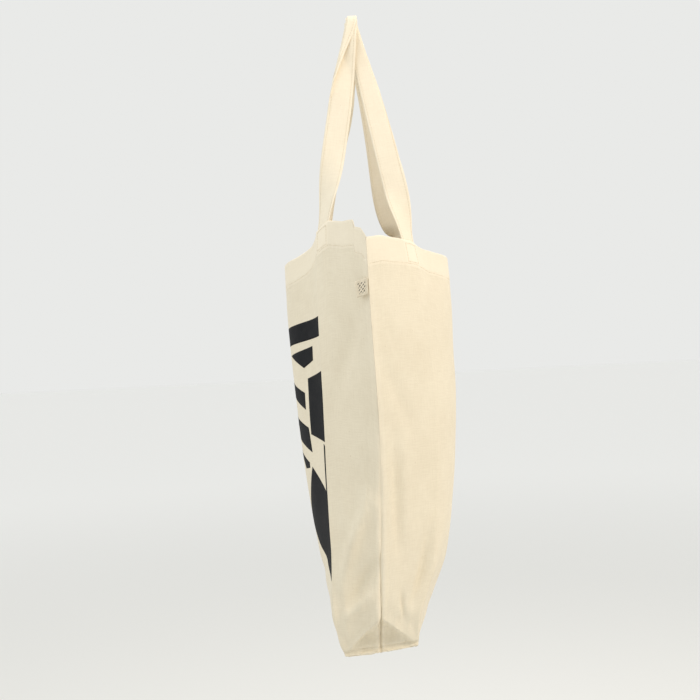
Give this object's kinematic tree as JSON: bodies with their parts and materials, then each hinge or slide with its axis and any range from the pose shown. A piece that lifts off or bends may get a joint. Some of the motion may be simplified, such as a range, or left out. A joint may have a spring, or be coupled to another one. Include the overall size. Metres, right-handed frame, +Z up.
{
  "type": "canvas tote bag",
  "caption": "Open canvas tote bag with a boxed bottom, hemmed mouth, long flat shoulder handles, side label and abstract print.",
  "frame": {"origin": "middle of the boxed bottom, on the plane that the bottom would stand on", "axes": "+Z up along the hanging bag, printed front panel towards -Y, side seams at +X and -X"},
  "size_m": [0.316, 0.1956, 0.712],
  "materials": {
    "canvas": "natural unbleached plain-weave cotton canvas",
    "seam_allowance": "raw canvas edges bound with overlock thread",
    "handle_webbing": "folded canvas strap, topstitched along both edges",
    "thread": "spun polyester sewing thread",
    "label_tape": "woven tape with small abstract marks",
    "print_ink": "matt black screen-printing ink in the weave"
  },
  "bodies": {
    "bag": {"front_panel": "canvas", "back_panel": "canvas", "near_side_seam": "seam_allowance", "far_side_seam": "seam_allowance", "bottom_seam": "seam_allowance", "near_corner_seam": "seam_allowance", "far_corner_seam": "seam_allowance", "front_hem_stitching": "thread", "back_hem_stitching": "thread", "front_handle_near_end": "handle_webbing", "front_handle_far_end": "handle_webbing", "back_handle_near_end": "handle_webbing", "back_handle_far_end": "handle_webbing", "front_near_box_stitching": "thread", "front_far_box_stitching": "thread", "back_near_box_stitching": "thread", "back_far_box_stitching": "thread", "front_print": "print_ink"},
    "front_handle": {"front_handle": "handle_webbing"},
    "back_handle": {"back_handle": "handle_webbing"},
    "side_label": {"side_label": "label_tape"}
  },
  "joints": [
    {"name": "front_handle_swing", "type": "hinge", "parent": "bag", "child": "front_handle", "pos_m": [0, -0.0435, 0.44495], "axis": [0.9907, 0, 0.1357], "range_deg": [0, 115]},
    {"name": "back_handle_swing", "type": "hinge", "parent": "bag", "child": "back_handle", "pos_m": [0, 0.0445, 0.44495], "axis": [-0.9907, 0, 0.1357], "range_deg": [0, 115]},
    {"name": "label_flap", "type": "hinge", "parent": "bag", "child": "side_label", "pos_m": [0.1571, 0, 0.3755], "axis": [0, 0, 1], "range_deg": [0, 245], "stiffness_Nm_per_rad": 0.0004}
  ]
}
